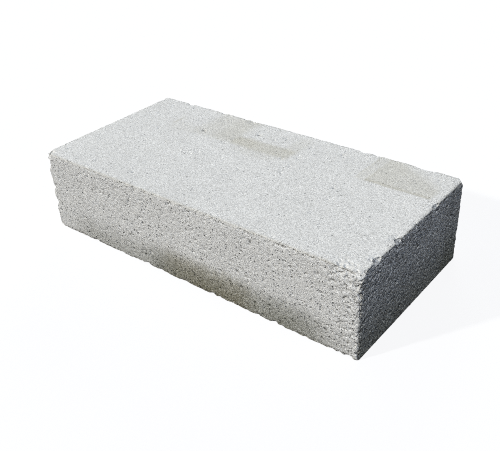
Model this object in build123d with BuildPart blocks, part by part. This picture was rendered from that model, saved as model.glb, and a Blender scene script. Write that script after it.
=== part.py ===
# Fly ash brick: one solid of cement-bound fly ash and sand, cast in a mould box and pressed from above.
# Millimetres. X runs along the length, Y along the width, Z up from the middle of the lower bed face.
import os
from math import sqrt

from build123d import *

# Driving dimensions
brick_length = 390.0  # a 400 module less one 10 mm mortar joint
brick_width = 190.0  # a 200 module less one joint
brick_height = 90.0  # a 100 module less one joint

# Arrises as they leave the mould
mould_corner_radius = 4.0  # the four upright arrises, from the corners of the mould box
pressed_arris_radius = 2.0  # round the upper bed face, where the press plate meets the mould box
pallet_arris_radius = 1.5  # round the lower bed face, where the mould box stands on its pallet

# Upper corners knocked off at the right-hand end: how far each break runs back along the corner's three edges
front_break_along_length = 14.0
front_break_along_width = 9.0
front_break_down = 8.0
rear_break_along_length = 7.0
rear_break_along_width = 9.0
rear_break_down = 9.0

# Flakes spalled off the rear upper arris: the middle's distance from the nearer end, the length along the arris
# and how far the flake reaches across each of the two faces
left_spall_from_end = 42.0
left_spall_length = 12.0
left_spall_reach = 4.5
right_spall_from_end = 40.0
right_spall_length = 28.0
right_spall_reach = 4.0

# Arrises that have lost smaller chips, each by the sides that its two faces look to along X, Y and Z
right_upper = (1, 0, 1)
rear_upper = (0, 1, 1)
front_lower = (0, -1, -1)
front_left = (-1, -1, 0)

# Those chips: the arris, the middle's place along it, the length along it and the reach across each face
chips = [
    (right_upper, -70.0, 11.0, 4.6),
    (right_upper, -35.0, 11.0, 4.2),
    (right_upper, 34.0, 14.0, 3.6),
    (rear_upper, -101.0, 8.0, 3.4),
    (rear_upper, 86.0, 13.0, 3.4),
    (front_lower, -54.0, 13.0, 3.0),
    (front_lower, 34.0, 8.0, 3.0),
    (front_lower, 107.0, 8.0, 3.0),
    (front_lower, 185.0, 9.0, 3.4),
    (front_left, 30.0, 11.0, 4.4),
    (front_left, 49.5, 10.0, 4.4),
    (front_left, 78.0, 11.0, 4.6),
]


# The plane of a break: it meets the corner's three edges at the given distances and faces outwards.
def break_plane(front_or_rear, along_length, along_width, down):
    on_upper_edge = (brick_length / 2 - along_length, front_or_rear * brick_width / 2, brick_height)
    outwards = (1 / along_length, front_or_rear / along_width, 1 / down)
    return Plane(origin=on_upper_edge, z_dir=outwards)


# A ball whose centre stands off an arris's two faces alike takes out a dished flake of the wanted length and reach.
def flake_off(arris, middle, length, reach):
    stand_off = ((length / 2) ** 2 - reach**2) / (2 * reach)
    ball_radius = sqrt((length / 2) ** 2 + 2 * stand_off**2)
    lowest = (-brick_length / 2, -brick_width / 2, 0.0)
    highest = (brick_length / 2, brick_width / 2, brick_height)
    centre = [
        {-1: low - stand_off, 0: middle, 1: high + stand_off}[side]
        for side, low, high in zip(arris, lowest, highest)
    ]
    with Locations(Vector(centre)):
        Sphere(ball_radius, mode=Mode.SUBTRACT)


with BuildPart() as brick:
    # The block, with the mould's rounded upright arrises
    with BuildSketch(Plane.XY):
        RectangleRounded(brick_length, brick_width, mould_corner_radius)
    extrude(amount=brick_height)

    # The arrises round the two bed faces
    fillet(faces().sort_by(Axis.Z)[-1].edges(), pressed_arris_radius)
    fillet(faces().sort_by(Axis.Z)[0].edges(), pallet_arris_radius)

    # The two knocked-off corners
    for front_or_rear, along_length, along_width, down in (
        (-1, front_break_along_length, front_break_along_width, front_break_down),
        (+1, rear_break_along_length, rear_break_along_width, rear_break_down),
    ):
        split(bisect_by=break_plane(front_or_rear, along_length, along_width, down), keep=Keep.BOTTOM)

    # The two spalls, then the chips
    flake_off(rear_upper, left_spall_from_end - brick_length / 2, left_spall_length, left_spall_reach)
    flake_off(rear_upper, brick_length / 2 - right_spall_from_end, right_spall_length, right_spall_reach)
    for arris, middle, length, reach in chips:
        flake_off(arris, middle, length, reach)

brick.part.label = "brick"

os.makedirs("parts", exist_ok=True)
export_step(brick.part, "parts/brick.step")
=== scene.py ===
import math

import bmesh
import bpy
import numpy as np
from mathutils import Matrix, Vector, noise


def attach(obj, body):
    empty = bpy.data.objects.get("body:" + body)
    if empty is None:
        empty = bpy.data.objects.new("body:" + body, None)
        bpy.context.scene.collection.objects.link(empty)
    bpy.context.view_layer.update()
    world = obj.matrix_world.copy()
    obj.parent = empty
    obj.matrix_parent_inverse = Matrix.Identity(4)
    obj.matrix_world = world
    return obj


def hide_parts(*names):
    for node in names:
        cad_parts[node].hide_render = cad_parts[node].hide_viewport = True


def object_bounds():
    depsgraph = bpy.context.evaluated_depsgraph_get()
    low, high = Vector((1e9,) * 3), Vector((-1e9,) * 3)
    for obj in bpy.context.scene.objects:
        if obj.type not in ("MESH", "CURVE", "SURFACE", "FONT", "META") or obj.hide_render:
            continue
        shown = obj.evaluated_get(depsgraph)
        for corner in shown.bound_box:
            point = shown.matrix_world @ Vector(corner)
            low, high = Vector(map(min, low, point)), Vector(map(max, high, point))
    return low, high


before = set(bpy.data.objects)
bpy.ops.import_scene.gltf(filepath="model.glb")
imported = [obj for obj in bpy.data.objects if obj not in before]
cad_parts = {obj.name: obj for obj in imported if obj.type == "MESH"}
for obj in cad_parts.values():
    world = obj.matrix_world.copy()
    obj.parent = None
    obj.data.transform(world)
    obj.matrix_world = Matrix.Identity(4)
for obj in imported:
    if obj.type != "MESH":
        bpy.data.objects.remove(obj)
cadLow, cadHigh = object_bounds()
mm = 0.001
scene = bpy.context.scene
scene.view_settings.view_transform = "Standard"
print("frame loaded, brick", [round(side / mm, 1) for side in cadHigh - cadLow], "mm")


def linear(hexColour):  # an sRGB hex colour as linear RGBA
    shown = [int(hexColour[i:i + 2], 16) / 255 for i in (1, 3, 5)]
    return [c / 12.92 if c <= 0.04045 else ((c + 0.055) / 1.055) ** 2.4 for c in shown] + [1.0]


# One node, set and linked. It gives one of the node's outputs.
def addNode(tree, kind, settings=None, inputs=None, out=0):
    node = tree.nodes.new(kind)
    for name, value in (settings or {}).items():
        setattr(node, name, value)
    for name, value in (inputs or {}).items():
        if isinstance(value, bpy.types.NodeSocket):
            tree.links.new(value, node.inputs[name])
        else:
            node.inputs[name].default_value = value
    return node.outputs[out] if node.outputs else node


# The camera, fitted to the brick's corners in the photograph
cameraView = {
    "imageSize": (500, 451),
    "focalPixels": 702.2,
    "sensorWidth": 36,  # mm
    "clip": (0.01, 50),  # m
    "azimuth": 39.47,
    "elevation": 31.69,
    "roll": -2.57,
    "distance": 731.5,  # mm, from the point looked at
    "lookAt": (11.5, -6.3, 25.3),  # mm
}


def makeCamera():
    az, el = math.radians(cameraView["azimuth"]), math.radians(cameraView["elevation"])
    back = Vector((math.sin(az) * math.cos(el), -math.cos(az) * math.cos(el), math.sin(el)))
    data = bpy.data.cameras.new("camera")
    data.sensor_fit = "HORIZONTAL"
    data.sensor_width = cameraView["sensorWidth"]
    data.lens = cameraView["focalPixels"] / cameraView["imageSize"][0] * data.sensor_width
    data.clip_start, data.clip_end = cameraView["clip"]
    camera = bpy.data.objects.new("camera", data)
    turn = (-back).to_track_quat("-Z", "Y").to_matrix().to_4x4()
    roll = Matrix.Rotation(math.radians(cameraView["roll"]), 4, "Z")
    place = Vector(cameraView["lookAt"]) * mm + back * cameraView["distance"] * mm
    camera.matrix_world = Matrix.Translation(place) @ turn @ roll
    scene.collection.objects.link(camera)
    scene.camera = camera


makeCamera()
print("camera placed")


# The brick's relief, in mm. Every layer cuts inwards from the moulded faces, so the brick keeps its size.
brick = {
    "weld": 0.001,  # points closer than this are one
    "meshPitch": 0.7,  # of the even mesh that the relief is cut into
    "triangles": 196000,  # after thinning out the flat places
    "faceFrom": 0.55, "faceOver": 0.4,  # how squarely a surface looks one way before it counts as that face
    "frontFrom": 85, "frontOver": 5,  # how far out it lies before it counts as the front
    "waveSize": 70, "waveDepth": 0.3,  # faces a little out of flat
    "grainSizes": (2.8, 1.6), "grainDepth": 0.04, "grainSpread": 0.9,  # sand standing out
    "headGrain": 9.0, "bedGrain": 0.15,  # times as much on the right-hand head, and on the two bed faces
    "bendSize": 2.0, "bend": 0.8,  # uneven outlines for the pores and gaps
    "pores": {"cell": 6.0, "radii": (0.9, 1.8), "depth": 1.1, "curve": 0.6, "side": 0.32, "bed": 0.05},
    # Open joints between grains, in short runs, more upright than level
    "gaps": {"cell": 4.2, "width": 1.1, "depth": 1.4, "curve": 0.7, "run": 3.4, "runSpread": 0.7, "runEnd": 5,
             "side": 0.27, "bed": 0.0, "stretch": (1.15, 1.15, 0.7)},
    "coarseFrom": 145, "coarseOver": 45,  # a coarser mix towards the right-hand end
    "coarseGaps": 0.27, "headGaps": 0.16,  # more gaps there and on that head
    "arrisWidth": 5.0, "arrisDepth": 0.65, "arrisFall": 0.4, "arrisPores": 0.4,  # crumbled arrises
    "crumbleSizes": (9.0, 3.4), "crumbleMore": 0.3,
    "uprightDepth": 3.4, "footDepth": 2.2,  # deeper notches in the upright ones and the front lower one
    "notchSizes": (10.0, 5.0), "notchShares": (1.2, 0.7),
    "raggedSize": 3.0, "ragged": 0.35,  # uneven outlines for the holes and chips
    # The broken grain inside the chips
    "brokenSize": 2.4, "brokenMean": 0.8, "brokenSpread": 1.1, "brokenSpan": (0.1, 1.4),
    "cornerMiddle": (186, -89, 84), "cornerReach": 36, "cornerDepth": 2.0,  # crumbled round the broken corner
    "cornerLumps": 4.5, "cornerGrain": 0.8,
    "soundFrom": 180, "soundOver": 8, "soundHeight": 12,  # the right-hand end's foot has kept its arrises
    "spared": 0.6, "sparedMost": 0.8,  # how far one kind of wear gives way to another
    # A number for each layer's noise, so that layers don't line up. The runs of gaps take the next one
    "seeds": {"wave": 1, "grain": (2, 3), "crumble": (4, 5), "ragged": 6, "corner": 7, "pores": 10,
              "gaps": 12, "broken": 13, "bend": (21, 22, 23), "notch": (44, 45)},
    "seedStep": 7.31,
}
# Chips: small ones, and the deepening and broken grain of those that the solid has. Middle, reach and depth
chips = [
    # front left upright
    ((-194, -94, 90), 9.0, 3.4), ((-195, -95, 78), 7.5, 3.2), ((-195, -95, 49.5), 7.0, 3.2),
    ((-195, -95, 31), 7.5, 3.4), ((-195, -95, 14), 4.5, 1.6), ((-195, -95, 2), 7.0, 2.0),
    # front lower
    ((-33, -95, 0), 8.0, 1.4), ((59, -95, 0), 4.0, 1.6), ((176, -95, 0), 3.5, 1.6),
    # right upper, and the broken corner
    ((195, -5, 90), 5.0, 1.8), ((195, 84, 90), 5.0, 1.5), ((177, -95, 90), 13.0, 2.2),
    ((193, -70, 88), 8.0, 1.6), ((193, -35, 88), 8.0, 1.6), ((194, 34, 88), 8.0, 1.2),
    # rear upper
    ((-69, 95, 90), 4.0, 2.0), ((-55, 95, 90), 9.0, 1.5), ((102, 95, 90), 5.0, 1.6),
]
# Larger holes, where coarse grains have dropped out: middle, reach and depth
holes = [
    # upper face
    ((-89, 43, 90), 2.5, 3.4), ((-30, 67, 90), 2.3, 3.0), ((42, 8, 90), 1.8, 1.6), ((-8, 65, 90), 1.8, 1.8),
    # front
    ((-14, -95, 85), 1.6, 1.8), ((-11.5, -95, 87), 1.5, 1.6), ((-56, -95, 56), 1.8, 1.8),
    ((-70, -95, 70), 1.8, 2.0), ((7, -95, 64), 1.8, 2.0), ((-75, -95, 29), 2.0, 2.2),
    ((-46, -95, 20), 1.8, 2.0), ((-99, -95, 65.5), 1.8, 2.0), ((83, -95, 78), 1.5, 1.7),
    ((82, -95, 75.5), 1.4, 1.4), ((71, -95, 25), 2.0, 2.2), ((45, -95, 12), 2.0, 2.2),
    ((103, -95, 24.5), 1.6, 1.8), ((105, -95, 27.5), 1.5, 1.6), ((103, -95, 18), 1.8, 2.0),
    ((86, -95, 14), 1.8, 2.0),
]


def applied(piece):  # the piece's mesh with its modifiers worked in
    mesh = bpy.data.meshes.new_from_object(piece.evaluated_get(bpy.context.evaluated_depsgraph_get()))
    piece.modifiers.clear()
    old, piece.data = piece.data, mesh
    bpy.data.meshes.remove(old)


def rising(value, start, over):  # from 0 at the start to 1
    return np.clip((value - start) / over, 0, 1)


def closeness(distance, reach):  # from 1 to 0 at the reach
    return np.clip(1 - distance / reach, 0, 1)


def dish(distance, reach):  # a dished hollow, 1 in its middle
    return np.clip(1 - (distance / reach) ** 2, 0, 1)


def layer(points, size, seed):  # the points as a layer's noise takes them
    return (points / size + seed * brick["seedStep"]).tolist()


def lumps(points, size, seed):  # smooth noise from about -1 to 1, in lumps of that size
    return np.array([noise.noise(p) for p in layer(points, size, seed)])


def bowls(points, kind, share, seed):  # depth of bowl-shaped pores, in that share of the cells
    cell, (small, large) = kind["cell"], kind["radii"]
    spots = [noise.voronoi(p) for p in layer(points, cell, seed)]
    away = np.array([spot[0][0] for spot in spots]) * cell
    chance = np.array([noise.cell(spot[1][0]) for spot in spots]) * 0.5 + 0.5
    radius = small + (large - small) * (chance / np.maximum(share, 1e-6)) ** 2  # no share is quite nothing
    return np.where(chance < share, kind["depth"] * radius * dish(away, radius) ** kind["curve"], 0.0)


def crevices(points, kind, share, seed):  # depth of the open joints between grains, in that share of the face
    spots = [noise.voronoi(p)[0] for p in layer(points * kind["stretch"], kind["cell"], seed)]
    gap = np.array([spot[1] - spot[0] for spot in spots]) * kind["cell"]
    runs = kind["runSpread"] * lumps(points, kind["run"], seed + 1)
    opened = np.clip((share - 0.5 - runs) * kind["runEnd"], 0, 1)
    return kind["depth"] * opened * closeness(gap, kind["width"]) ** kind["curve"]


def makeBrick():
    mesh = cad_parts["brick"].data.copy()
    shell = bmesh.new()
    shell.from_mesh(mesh)
    bmesh.ops.remove_doubles(shell, verts=shell.verts, dist=brick["weld"] * mm)
    shell.to_mesh(mesh)
    shell.free()
    piece = bpy.data.objects.new("flyAshBrick", mesh)
    scene.collection.objects.link(piece)
    even = piece.modifiers.new("evenMesh", "REMESH")
    even.mode = "VOXEL"
    even.voxel_size = brick["meshPitch"] * mm
    applied(piece)
    mesh = piece.data
    count = len(mesh.vertices)
    place, normal = np.empty(count * 3, np.float32), np.empty(count * 3, np.float32)
    mesh.vertices.foreach_get("co", place)
    mesh.vertex_normals.foreach_get("vector", normal)
    p, normal = place.reshape(-1, 3).astype(float) / mm, normal.reshape(-1, 3).astype(float)
    print("even mesh,", count, "points")

    # Where each point lies, as shares from 0 to 1
    low, high = np.array(cadLow) / mm, np.array(cadHigh) / mm
    inset = np.minimum(p - low, high - p)  # distances in from the nearest faces
    arris, squarely = brick["arrisWidth"], (brick["faceFrom"], brick["faceOver"])
    edge = closeness(np.sort(inset, axis=1)[:, 1], arris)  # any arris
    upright = closeness(np.max(inset[:, :2], axis=1), arris)  # an upright one
    foot = closeness(np.maximum(p[:, 1] - low[1], p[:, 2] - low[2]), arris)  # the front lower one
    upper = rising(normal[:, 2], *squarely)  # the face under the press plate
    smooth = rising(np.abs(normal[:, 2]), *squarely)  # that one and the one on the pallet
    head = rising(normal[:, 0], *squarely)  # the right-hand head, where the mix is coarsest
    fronted = rising(-p[:, 1], brick["frontFrom"], brick["frontOver"])
    coarse = rising(p[:, 0], brick["coarseFrom"], brick["coarseOver"])
    near = closeness(np.linalg.norm(p - brick["cornerMiddle"], axis=1), brick["cornerReach"])
    sound = rising(p[:, 0], brick["soundFrom"], brick["soundOver"])
    sound = sound * rising(-p[:, 2], -brick["soundHeight"], brick["soundOver"])
    seeds, spared, sparedMost = brick["seeds"], brick["spared"], brick["sparedMost"]

    # Sand grain, strongest on the right-hand head and nearly pressed flat on the bed faces
    large, fine = (lumps(p, size, seed) for size, seed in zip(brick["grainSizes"], seeds["grain"]))
    grain = (1 + (brick["headGrain"] - 1) * head) * (1 - smooth) + brick["bedGrain"] * smooth
    depth = brick["waveDepth"] * (0.5 + 0.5 * lumps(p, brick["waveSize"], seeds["wave"]))
    depth += brick["grainDepth"] * (1 + (large + fine) * brick["grainSpread"]) * grain

    # Open pores and gaps, then the larger holes
    bent = p + brick["bend"] * np.stack([lumps(p, brick["bendSize"], seed) for seed in seeds["bend"]], axis=1)
    coarser = np.maximum(coarse * (1 - head) * (1 - spared * upright), near * (1 - spared * head))
    coarser = np.maximum(brick["coarseGaps"] * coarser, brick["headGaps"] * head)
    pits = np.zeros(count)
    for opening, name, more in ((bowls, "pores", 0.0), (crevices, "gaps", coarser)):
        kind = brick[name]
        side = kind["side"] + more + brick["arrisPores"] * edge * fronted
        share = side * (1 - smooth) + kind["bed"] * smooth
        pits = np.maximum(pits, opening(bent, kind, share, seeds[name]))
    ragged = 1 + brick["ragged"] * lumps(p, brick["raggedSize"], seeds["ragged"])
    for middle, reach, deep in holes:
        away = np.linalg.norm(p - middle, axis=1) * ragged
        pits = np.maximum(pits, deep * dish(away, reach))

    # Crumbled arrises, chips and the broken corner
    rough, rougher = (lumps(p, size, seed) for size, seed in zip(brick["crumbleSizes"], seeds["crumble"]))
    crumbled = np.clip(rough + rougher + brick["crumbleMore"], 0, None) * edge * (1 - spared * upright)
    rough, rougher = (share * lumps(p, size, seed) for share, size, seed in
                      zip(brick["notchShares"], brick["notchSizes"], seeds["notch"]))
    notched = np.clip(rough + rougher, 0, None) * (1 - spared * coarse)
    notched = notched * np.maximum(brick["uprightDepth"] * upright, brick["footDepth"] * foot)
    wear = edge ** brick["arrisFall"] * np.maximum(brick["arrisDepth"] * crumbled, notched)
    broken = brick["brokenMean"] + brick["brokenSpread"] * lumps(p, brick["brokenSize"], seeds["broken"])
    broken = np.clip(broken, *brick["brokenSpan"])
    for middle, reach, deep in chips:
        away = np.linalg.norm(p - middle, axis=1) * ragged
        wear = np.maximum(wear, deep * dish(away, reach) * broken)
    crumbled = lumps(p, brick["cornerLumps"], seeds["corner"]) + brick["cornerGrain"] * large
    crumbled = np.clip(crumbled + brick["crumbleMore"], 0, None)
    wear += brick["cornerDepth"] * near * (1 - sparedMost * upper) * crumbled

    cut = depth + wear * (1 - sparedMost * sound) + pits
    p = np.clip(p - normal * cut[:, None], low, high)
    mesh.vertices.foreach_set("co", (p * mm).astype(np.float32).ravel())
    coarse = np.maximum(coarse, near) * (1 - head) * (1 - smooth)
    shares = {"pits": pits, "edge": edge, "upper": upper, "head": head, "coarse": coarse}  # for the material
    for name, value in shares.items():
        mesh.attributes.new(name, "FLOAT", "POINT").data.foreach_set("value", value.astype(np.float32))
    mesh.update()
    print("relief cut, deepest", round(float(cut.max()), 2), "mm")

    thin = piece.modifiers.new("thinOut", "DECIMATE")
    mesh.calc_loop_triangles()
    thin.ratio = brick["triangles"] / len(mesh.loop_triangles)
    thin.use_collapse_triangulate = True
    applied(piece)
    piece.data.polygons.foreach_set("use_smooth", [True] * len(piece.data.polygons))
    print("brick mesh,", len(piece.data.polygons), "faces")
    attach(piece, "root")
    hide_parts("brick")
    return piece


flyAshBrick = makeBrick()

# The brick's six faces laid out flat for baking, in mm: the axis each looks along, whether at its high side,
# the axis that runs to the right on the flat map and which way, the axis that runs up, and where the lower
# left corner lies
flatMap = {
    "name": "OFBake",
    "width": 600,
    "faces": [
        (2, True, 0, 1, 1, (5, 5)), (2, False, 0, -1, 1, (5, 200)),  # upper, lower
        (1, False, 0, 1, 2, (5, 395)), (1, True, 0, -1, 2, (5, 490)),  # front, rear
        (0, True, 1, 1, 2, (400, 5)), (0, False, 1, -1, 2, (400, 100)),  # right-hand and left-hand head
    ],
}


def layFlat(mesh):
    low, high = np.array(cadLow) / mm, np.array(cadHigh) / mm
    middle = np.empty(len(mesh.polygons) * 3, np.float32)
    sides = np.empty(len(mesh.polygons), np.int32)
    place = np.empty(len(mesh.vertices) * 3, np.float32)
    vertex = np.empty(len(mesh.loops), np.int32)
    mesh.polygons.foreach_get("center", middle)
    mesh.polygons.foreach_get("loop_total", sides)
    mesh.vertices.foreach_get("co", place)
    mesh.loops.foreach_get("vertex_index", vertex)
    middle, place = middle.reshape(-1, 3) / mm, place.reshape(-1, 3)[vertex] / mm
    away = [np.abs(middle[:, face[0]] - (high if face[1] else low)[face[0]]) for face in flatMap["faces"]]
    nearest = np.repeat(np.argmin(away, axis=0), sides)
    flat = np.empty((len(vertex), 2))
    for i, (_, _, across, way, upwards, corner) in enumerate(flatMap["faces"]):
        mine = nearest == i
        start = low[across] if way > 0 else high[across]
        flat[mine, 0] = corner[0] + way * (place[mine, across] - start)
        flat[mine, 1] = corner[1] + place[mine, upwards] - low[upwards]
    uvMap = mesh.uv_layers.new(name=flatMap["name"])
    uvMap.uv.foreach_set("vector", (flat / flatMap["width"]).astype(np.float32).ravel())


layFlat(flyAshBrick.data)
print("faces laid flat")


# Cement-bound fly ash and sand, pressed in a steel mould and air-cured: a matte, pale grey face with a
# salt-and-pepper grain, dark open pores and a cooler, closed skin where the press plate smoothed the top.
# Sizes, depths and heights are in mm.
cement = {
    "upperColour": "#d5d3cc", "sideColour": "#dad8d2", "pitShadeColour": "#54524e", "arrisDirtAndShade": "#e6e4df",
    "sandSize": 0.78, "sandTone": 0.36, "sandHeight": 0.4, "sandEdge": 0.8,  # single grains of sand
    "ashSize": 0.5, "ashTone": 0.55, "ashHeight": 0.36,  # ash between them, drawn far coarser to show
    "wobbleSize": 1.5, "wobble": 1.2,  # none of them quite round
    "pinholeCell": 2.5, "pinholeRadius": 1.05, "pinholeLeast": 0.5, "pinholeRim": (0.5, 1.05),
    "pinholeShare": 0.42, "pinholeDepth": 1.35, "pinholePaintedShade": 0.53,
    "pinholePatch": 12, "pinholeCrowd": (0.6, 1.4), "arrisPinholes": 0.35,  # more in patches and at arrises
    "upperTone": 1.5, "upperHeight": 0.25, "upperPinholes": 0.22,  # what the press plate leaves of these
    "headTone": 4.5, "headHeight": 3.8,  # how much stronger they are on the right-hand head
    "coarseTone": 1.6, "coarseHeight": 1.05, "coarsePinholes": 0.1,  # and in the coarser mix beside it
    "patchSize": 40, "patchTone": 0.05, "headPatch": 8, "headPatchTone": 0.2,  # lighter and darker patches
    "noiseSpan": (0.3, 0.7),  # where most of the noise lies
    "wornAndShadedFrom": 0.3,  # share of an arris at which its wear and painted shade begin
    "pitShadeSpan": (0.5, 1.7), "pitShadeShare": 0.68,  # depth at which the painted shade in the pores starts and is darkest
    "frontSpan": (-88, -91), "headSpan": (188, 191),  # where those faces begin, for the stains
    "roughness": 0.92, "ior": 1.5, "gloss": 0.2,  # open pores swallow most of the gloss
}
# Tan marks on the upper face, in mm: left, right and softness, front, rear and softness, strength
tanMarks = {
    "colour": "#d0cbb8", "wander": 2.5, "lumps": (14, 14, 14), "soak": 0.3,
    "fadeAlong": (0.548, 0.837, 0), "fadeFrom": 143, "fadeTo": 162,  # a slanting end at the right-hand rear
    "places": [
        # the one in the middle
        (-46, 29, 10, 34, 54, 9, 0.44), (-30, 18, 22, 20, 36, 10, 0.14), (-98, -44, 18, 34, 100, 14, 0.24),
        (-72, -47, 12, 34, 120, 10, 0.1), (-42, -18, 10, 36, 53, 8, 0.08), (14, 31, 8, 50, 84, 14, 0.16),
        (-132, -95, 12, 28, 50, 14, 0.1), (-135, -131.5, 2.5, 40, 60, 5, 0.28),
        # the one on the right, with its outline
        (106, 186, 1.5, 40, 120, 1.5, 0.18), (106, 108.5, 1, 46, 96, 6, 0.14),
        (117, 185, 2, 40, 120, 1.5, 0.14), (116, 184, 3, 40, 44, 2.5, 0.2),
        (116.5, 119.5, 2, 40, 70, 6, 0.1), (118, 142, 12, 40, 100, 6, 0.05),
    ],
}
# Damp dirt drawn up into the foot of the front face, in mm: left, right and softness, lower, upper and
# softness, strength
dampStain = {
    "colour": "#8e8e80", "wander": 6, "lumps": (6, 6, 30), "soak": 1.6,
    "places": [(-162, 172, 60, -30, 22, 32, 0.45), (-46, 150, 50, -30, 31, 20, 0.33)],
}
# Its brown middle
dampCore = {
    "colour": "#cfc7af", "wander": 6, "lumps": (6, 6, 30), "soak": 1.6,
    "places": [(-26, 80, 30, -30, 29, 20, 0.5), (8, 76, 18, -30, 13, 14, 0.16)],
}
# Painted shade on the right-hand head, darkest at its foot and over its rear part, along the width instead of
# the length
headFootShade = {
    "colour": "#a8a899", "wander": 7, "lumps": (7, 7, 30), "soak": 0.5,
    "places": [
        (-140, 140, 20, -30, 26, 56, 0.58), (-140, 140, 20, -30, 62, 50, 0.22),
        (60, 140, 24, -30, 120, 20, 0.2),
    ],
}


def softPatches(tree, across, along, places):  # several soft-edged patches, added up
    mask = None
    for first, last, sideways, near, far, lengthways, strength in places:
        patch = strength
        for value, start, end, soft in ((across, first, last, sideways), (along, near, far, lengthways)):
            for edge, inwards in ((start, 1), (end, -1)):
                rise = addNode(tree, "ShaderNodeMapRange", {"interpolation_type": "SMOOTHSTEP"},
                               {"Value": value, 1: edge - inwards * soft / 2, 2: edge + inwards * soft / 2})
                patch = addNode(tree, "ShaderNodeMath", {"operation": "MULTIPLY"}, {0: rise, 1: patch})
        if mask is not None:
            patch = addNode(tree, "ShaderNodeMath", {"operation": "ADD"}, {0: mask, 1: patch})
        mask = patch
    return mask


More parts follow.
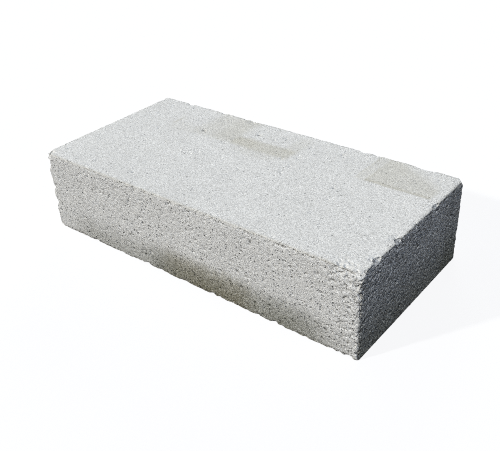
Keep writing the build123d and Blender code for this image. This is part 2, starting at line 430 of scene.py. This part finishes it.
# Inputs 1 to 4 of a Map Range node are its from and to values, and 6 and 7 of a Mix node its two colours.
def flyAshCement():
    material = bpy.data.materials.new("pressedFlyAshCement")
    material.use_nodes = True
    tree = material.node_tree
    tree.nodes.clear()
    position = addNode(tree, "ShaderNodeTexCoord", out="Object")
    inMm = addNode(tree, "ShaderNodeVectorMath", {"operation": "SCALE"}, {0: position, "Scale": 1 / mm})
    upper, head, coarse, pits, edge = (
        addNode(tree, "ShaderNodeAttribute", {"attribute_name": name}, None, "Fac")
        for name in ("upper", "head", "coarse", "pits", "edge"))
    noiseLow, noiseHigh = cement["noiseSpan"]
    middleGrey = (0.5, 0.5, 0.5)

    # Sand grains, ash and pinholes
    wobble = addNode(tree, "ShaderNodeTexNoise", None,
                     {"Vector": inMm, "Scale": 1 / cement["wobbleSize"], "Detail": 1.0}, "Color")
    wobble = addNode(tree, "ShaderNodeVectorMath", {"operation": "SUBTRACT"}, {0: wobble, 1: middleGrey})
    bent = addNode(tree, "ShaderNodeVectorMath", {"operation": "MULTIPLY_ADD"},
                   {0: wobble, 1: [cement["wobble"]] * 3, 2: inMm})
    sandColour = addNode(tree, "ShaderNodeTexVoronoi", None,
                         {"Vector": bent, "Scale": 1 / cement["sandSize"]}, "Color")
    sandTone = addNode(tree, "ShaderNodeSeparateColor", None, {"Color": sandColour})
    dome = addNode(tree, "ShaderNodeMapRange", {"interpolation_type": "SMOOTHSTEP"},
                   {"Value": sandColour.node.outputs["Distance"], 2: cement["sandEdge"], 3: 1, 4: 0})
    ash = addNode(tree, "ShaderNodeTexNoise", None,
                  {"Vector": inMm, "Scale": 1 / cement["ashSize"], "Detail": 2.0, "Roughness": 0.6}, "Fac")
    holeColour = addNode(tree, "ShaderNodeTexVoronoi", None,
                         {"Vector": bent, "Scale": 1 / cement["pinholeCell"]}, "Color")
    holeChance = addNode(tree, "ShaderNodeSeparateColor", None, {"Color": holeColour})
    holeShare = addNode(tree, "ShaderNodeMapRange", None, {
        "Value": upper, 3: cement["pinholeShare"], 4: cement["pinholeShare"] * cement["upperPinholes"]})
    crowd = addNode(tree, "ShaderNodeTexNoise", None,
                    {"Vector": inMm, "Scale": 1 / cement["pinholePatch"]}, "Fac")
    fewer, more = cement["pinholeCrowd"]
    crowd = addNode(tree, "ShaderNodeMapRange", None,
                    {"Value": crowd, 1: noiseLow, 2: noiseHigh, 3: fewer, 4: more})
    holeShare = addNode(tree, "ShaderNodeMath", {"operation": "MULTIPLY"}, {0: holeShare, 1: crowd})
    for mask, extra in ((edge, cement["arrisPinholes"]), (coarse, cement["coarsePinholes"])):
        holeShare = addNode(tree, "ShaderNodeMath", {"operation": "MULTIPLY_ADD"},
                            {0: mask, 1: extra, 2: holeShare})
    holeKept = addNode(tree, "ShaderNodeMath", {"operation": "LESS_THAN"}, {0: holeChance, 1: holeShare})
    radius = addNode(tree, "ShaderNodeMapRange", None,
                     {"Value": holeChance.node.outputs[1], 3: cement["pinholeLeast"], 4: 1.0})
    radius = addNode(tree, "ShaderNodeMath", {"operation": "MULTIPLY"},
                     {0: radius, 1: cement["pinholeRadius"] / cement["pinholeCell"]})
    away = addNode(tree, "ShaderNodeMath", {"operation": "DIVIDE"},
                   {0: holeColour.node.outputs["Distance"], 1: radius})
    rimFrom, rimTo = cement["pinholeRim"]
    pinhole = addNode(tree, "ShaderNodeMapRange", {"interpolation_type": "SMOOTHSTEP"},
                      {"Value": away, 1: rimFrom, 2: rimTo, 3: 1, 4: 0})
    pinhole = addNode(tree, "ShaderNodeMath", {"operation": "MULTIPLY"}, {0: pinhole, 1: holeKept})

    # Colour: two greys, the spread of tones of grains and ash, then painted shade in the pinholes and pores
    colour = addNode(tree, "ShaderNodeMix", {"data_type": "RGBA"},
                     {0: upper, 6: linear(cement["sideColour"]), 7: linear(cement["upperColour"])}, 2)
    spread = 0.0
    for pattern, share in ((sandTone, cement["sandTone"]), (ash, cement["ashTone"])):
        centred = addNode(tree, "ShaderNodeMath", {"operation": "SUBTRACT"}, {0: pattern, 1: 0.5})
        spread = addNode(tree, "ShaderNodeMath", {"operation": "MULTIPLY_ADD"},
                         {0: centred, 1: share, 2: spread})
    toneShare = heightShare = 1.0
    for mask, name in ((upper, "upper"), (head, "head"), (coarse, "coarse")):
        more = addNode(tree, "ShaderNodeMapRange", None, {"Value": mask, 3: 1.0, 4: cement[name + "Tone"]})
        toneShare = addNode(tree, "ShaderNodeMath", {"operation": "MULTIPLY"}, {0: more, 1: toneShare})
        more = addNode(tree, "ShaderNodeMapRange", None, {"Value": mask, 3: 1.0, 4: cement[name + "Height"]})
        heightShare = addNode(tree, "ShaderNodeMath", {"operation": "MULTIPLY"}, {0: more, 1: heightShare})
    tone = addNode(tree, "ShaderNodeMath", {"operation": "MULTIPLY_ADD"}, {0: spread, 1: toneShare, 2: 1.0})
    # Painted shade in the pinholes: they are darkened as well as dented
    shade = addNode(tree, "ShaderNodeMapRange", None,
                    {"Value": pinhole, 3: 1.0, 4: 1 - cement["pinholePaintedShade"]})
    tone = addNode(tree, "ShaderNodeMath", {"operation": "MULTIPLY"}, {0: tone, 1: shade})
    for where, size, strength in ((1.0, cement["patchSize"], cement["patchTone"]),
                                  (head, cement["headPatch"], cement["headPatchTone"])):
        patch = addNode(tree, "ShaderNodeTexNoise", None, {"Vector": inMm, "Scale": 1 / size}, "Fac")
        shade = addNode(tree, "ShaderNodeMapRange", None,
                        {"Value": patch, 1: noiseLow, 2: noiseHigh, 3: -strength / 2, 4: strength / 2})
        shade = addNode(tree, "ShaderNodeMath", {"operation": "MULTIPLY_ADD"}, {0: shade, 1: where, 2: 1.0})
        tone = addNode(tree, "ShaderNodeMath", {"operation": "MULTIPLY"}, {0: tone, 1: shade})
    colour = addNode(tree, "ShaderNodeVectorMath", {"operation": "SCALE"}, {0: colour, "Scale": tone})
    # Arrises darkened and warmed: partly wear and dirt, partly painted shade among their crumbs
    wornAndShaded = addNode(tree, "ShaderNodeMapRange", None, {"Value": edge, 1: cement["wornAndShadedFrom"]})
    colour = addNode(tree, "ShaderNodeMix", {"data_type": "RGBA", "blend_type": "MULTIPLY"},
                     {0: wornAndShaded, 6: colour, 7: linear(cement["arrisDirtAndShade"])}, 2)
    # Painted shade in the pores: they darken towards a dark grey as they deepen
    pitShadeFrom, pitShadeTo = cement["pitShadeSpan"]
    pitShade = addNode(tree, "ShaderNodeMapRange", None,
                     {"Value": pits, 1: pitShadeFrom, 2: pitShadeTo, 4: cement["pitShadeShare"]})
    colour = addNode(tree, "ShaderNodeMix", {"data_type": "RGBA"},
                     {0: pitShade, 6: colour, 7: linear(cement["pitShadeColour"])}, 2)

    # Stains, and the painted shade on the right-hand head, with wandering edges: the place is shifted by
    # noise before it is measured
    front, right = (
        addNode(tree, "ShaderNodeMapRange", None,
                {"Value": addNode(tree, "ShaderNodeSeparateXYZ", None, {0: inMm}, axis), 1: start, 2: end})
        for axis, (start, end) in ((1, cement["frontSpan"]), (0, cement["headSpan"])))
    side = addNode(tree, "ShaderNodeMath", {"operation": "SUBTRACT"}, {0: front, 1: upper})
    right = addNode(tree, "ShaderNodeMath", {"operation": "MULTIPLY"}, {0: right, 1: head})
    for stainOrShade, axes, where in ((tanMarks, (0, 1), upper), (dampStain, (0, 2), side), (dampCore, (0, 2), side),
                               (headFootShade, (1, 2), right)):
        shift = addNode(tree, "ShaderNodeVectorMath", {"operation": "DIVIDE"}, {0: inMm, 1: stainOrShade["lumps"]})
        shift = addNode(tree, "ShaderNodeTexNoise", None,
                        {"Vector": shift, "Scale": 1.0, "Detail": 4.0, "Roughness": 0.6}, "Color")
        shift = addNode(tree, "ShaderNodeVectorMath", {"operation": "SUBTRACT"}, {0: shift, 1: middleGrey})
        wander = addNode(tree, "ShaderNodeVectorMath", {"operation": "SCALE"},
                         {0: shift, "Scale": stainOrShade["wander"] * 2})
        wander = addNode(tree, "ShaderNodeVectorMath", {"operation": "ADD"}, {0: wander, 1: inMm})
        apart = addNode(tree, "ShaderNodeSeparateXYZ", None, {0: wander}).node.outputs
        mask = softPatches(tree, apart[axes[0]], apart[axes[1]], stainOrShade["places"])
        soaked = addNode(tree, "ShaderNodeMath", {"operation": "MULTIPLY_ADD"},
                         {0: spread, 1: -stainOrShade["soak"], 2: 1.0})
        mask = addNode(tree, "ShaderNodeMath", {"operation": "MULTIPLY"}, {0: mask, 1: soaked})
        if "fadeFrom" in stainOrShade:
            slant = addNode(tree, "ShaderNodeVectorMath", {"operation": "DOT_PRODUCT"},
                            {0: wander, 1: stainOrShade["fadeAlong"]}, "Value")
            fade = addNode(tree, "ShaderNodeMapRange", {"interpolation_type": "SMOOTHSTEP"},
                           {"Value": slant, 1: stainOrShade["fadeFrom"], 2: stainOrShade["fadeTo"], 3: 1, 4: 0})
            mask = addNode(tree, "ShaderNodeMath", {"operation": "MULTIPLY"}, {0: mask, 1: fade})
        mask = addNode(tree, "ShaderNodeMath", {"operation": "MULTIPLY", "use_clamp": True},
                       {0: mask, 1: where})
        colour = addNode(tree, "ShaderNodeMix", {"data_type": "RGBA", "blend_type": "MULTIPLY"},
                         {0: mask, 6: colour, 7: linear(stainOrShade["colour"])}, 2)

    # Relief too fine for the mesh
    height = addNode(tree, "ShaderNodeMath", {"operation": "MULTIPLY"}, {0: dome, 1: cement["sandHeight"]})
    for pattern, tall in ((ash, cement["ashHeight"]), (pinhole, -cement["pinholeDepth"])):
        height = addNode(tree, "ShaderNodeMath", {"operation": "MULTIPLY_ADD"},
                         {0: pattern, 1: tall, 2: height})
    height = addNode(tree, "ShaderNodeMath", {"operation": "MULTIPLY"}, {0: height, 1: heightShare})
    bump = addNode(tree, "ShaderNodeBump", None, {"Height": height, "Strength": 1.0, "Distance": mm})
    shader = addNode(tree, "ShaderNodeBsdfPrincipled", None,
                     {"Base Color": colour, "Roughness": cement["roughness"], "IOR": cement["ior"],
                      "Specular IOR Level": cement["gloss"], "Normal": bump})
    addNode(tree, "ShaderNodeOutputMaterial", None, {"Surface": shader})
    return material


flyAshBrick.data.materials.clear()
flyAshBrick.data.materials.append(flyAshCement())
print("material made")


# Plain pale floor and soft studio light: a key from the front left, a lamp that just skims the right-hand
# head, a weak soft one at its side, one behind for the faces turned away, and a weak sky. The floor is white
# to the camera and dark to the light it throws back.
studio = {
    "floorSize": 8.0,  # m
    "floorColour": "#ffffff", "floorBounce": "#303030",
    "floorShadow": 0.15,  # share of the floor's brightness that a shadow can take
    "skyColour": "#d6e4f8", "skyStrength": 0.13,
    "lampDistance": 2.0,  # m
    # direction that the light comes from, strength, colour, and the lamp's width in degrees
    "lamps": {
        "keyLamp": ((-0.45, -0.75, 0.48), 2.45, "#fffefc", 3),
        "skimLamp": ((0.23, -0.5, 0.86), 1.43, "#f8fbff", 3),
        "sideLamp": ((0.5, -0.2, 0.6), 0.56, "#b8d2ff", 50),
        "rearLamp": ((-0.5, 0.82, 0.22), 1.6, "#f6faff", 30),
    },
    "filterWidth": 1.0,  # pixels, as crisp as the photograph
}


def seenPlainly(tree):  # 1 for what the camera sees, and for what shows in or through a surface
    seen = addNode(tree, "ShaderNodeLightPath", out="Is Camera Ray")
    path = seen.node
    for other in ("Is Glossy Ray", "Is Transmission Ray"):
        seen = addNode(tree, "ShaderNodeMath", {"operation": "MAXIMUM"}, {0: seen, 1: path.outputs[other]})
    return seen


def makeFloor():
    half = studio["floorSize"] / 2
    corners = [(-half, -half, 0), (half, -half, 0), (half, half, 0), (-half, half, 0)]
    mesh = bpy.data.meshes.new("floor")
    mesh.from_pydata(corners, [], [(0, 1, 2, 3)])
    floor = bpy.data.objects.new("floor", mesh)
    scene.collection.objects.link(floor)
    material = bpy.data.materials.new("paintedStudioFloor")
    material.use_nodes = True
    tree = material.node_tree
    tree.nodes.clear()
    seen = seenPlainly(tree)
    share = studio["floorShadow"]
    lit = addNode(tree, "ShaderNodeBsdfDiffuse", None, {"Color": [share, share, share, 1]})
    glow = addNode(tree, "ShaderNodeEmission", None,
                   {"Color": linear(studio["floorColour"]), "Strength": 1 - share})
    white = addNode(tree, "ShaderNodeAddShader", None, {0: lit, 1: glow})
    bounce = addNode(tree, "ShaderNodeBsdfDiffuse", None, {"Color": linear(studio["floorBounce"])})
    both = addNode(tree, "ShaderNodeMixShader", None, {0: seen, 1: bounce, 2: white})
    addNode(tree, "ShaderNodeOutputMaterial", None, {"Surface": both})
    mesh.materials.append(material)


def makeLamps():
    for name, (toward, strength, colour, width) in studio["lamps"].items():
        data = bpy.data.lights.new(name, "SUN")
        data.energy = strength
        data.color = linear(colour)[:3]
        data.angle = math.radians(width)
        lamp = bpy.data.objects.new(name, data)
        lamp.rotation_mode = "QUATERNION"
        lamp.rotation_quaternion = Vector(toward).to_track_quat("Z", "Y")
        lamp.location = Vector(toward) * studio["lampDistance"]
        scene.collection.objects.link(lamp)


def makeSky():
    world = bpy.data.worlds.new("studioSky")
    world.use_nodes = True
    tree = world.node_tree
    tree.nodes.clear()
    seen = seenPlainly(tree)
    sky = addNode(tree, "ShaderNodeBackground", None,
                  {"Color": linear(studio["skyColour"]), "Strength": studio["skyStrength"]})
    white = addNode(tree, "ShaderNodeBackground", None,
                    {"Color": linear(studio["floorColour"]), "Strength": 1.0})
    both = addNode(tree, "ShaderNodeMixShader", None, {0: seen, 1: sky, 2: white})
    addNode(tree, "ShaderNodeOutputWorld", None, {"Surface": both})
    scene.world = world


makeFloor()
makeLamps()
makeSky()
scene.cycles.use_denoising = False  # a denoiser smears the sand grain
scene.cycles.filter_width = studio["filterWidth"]
print("studio lit")
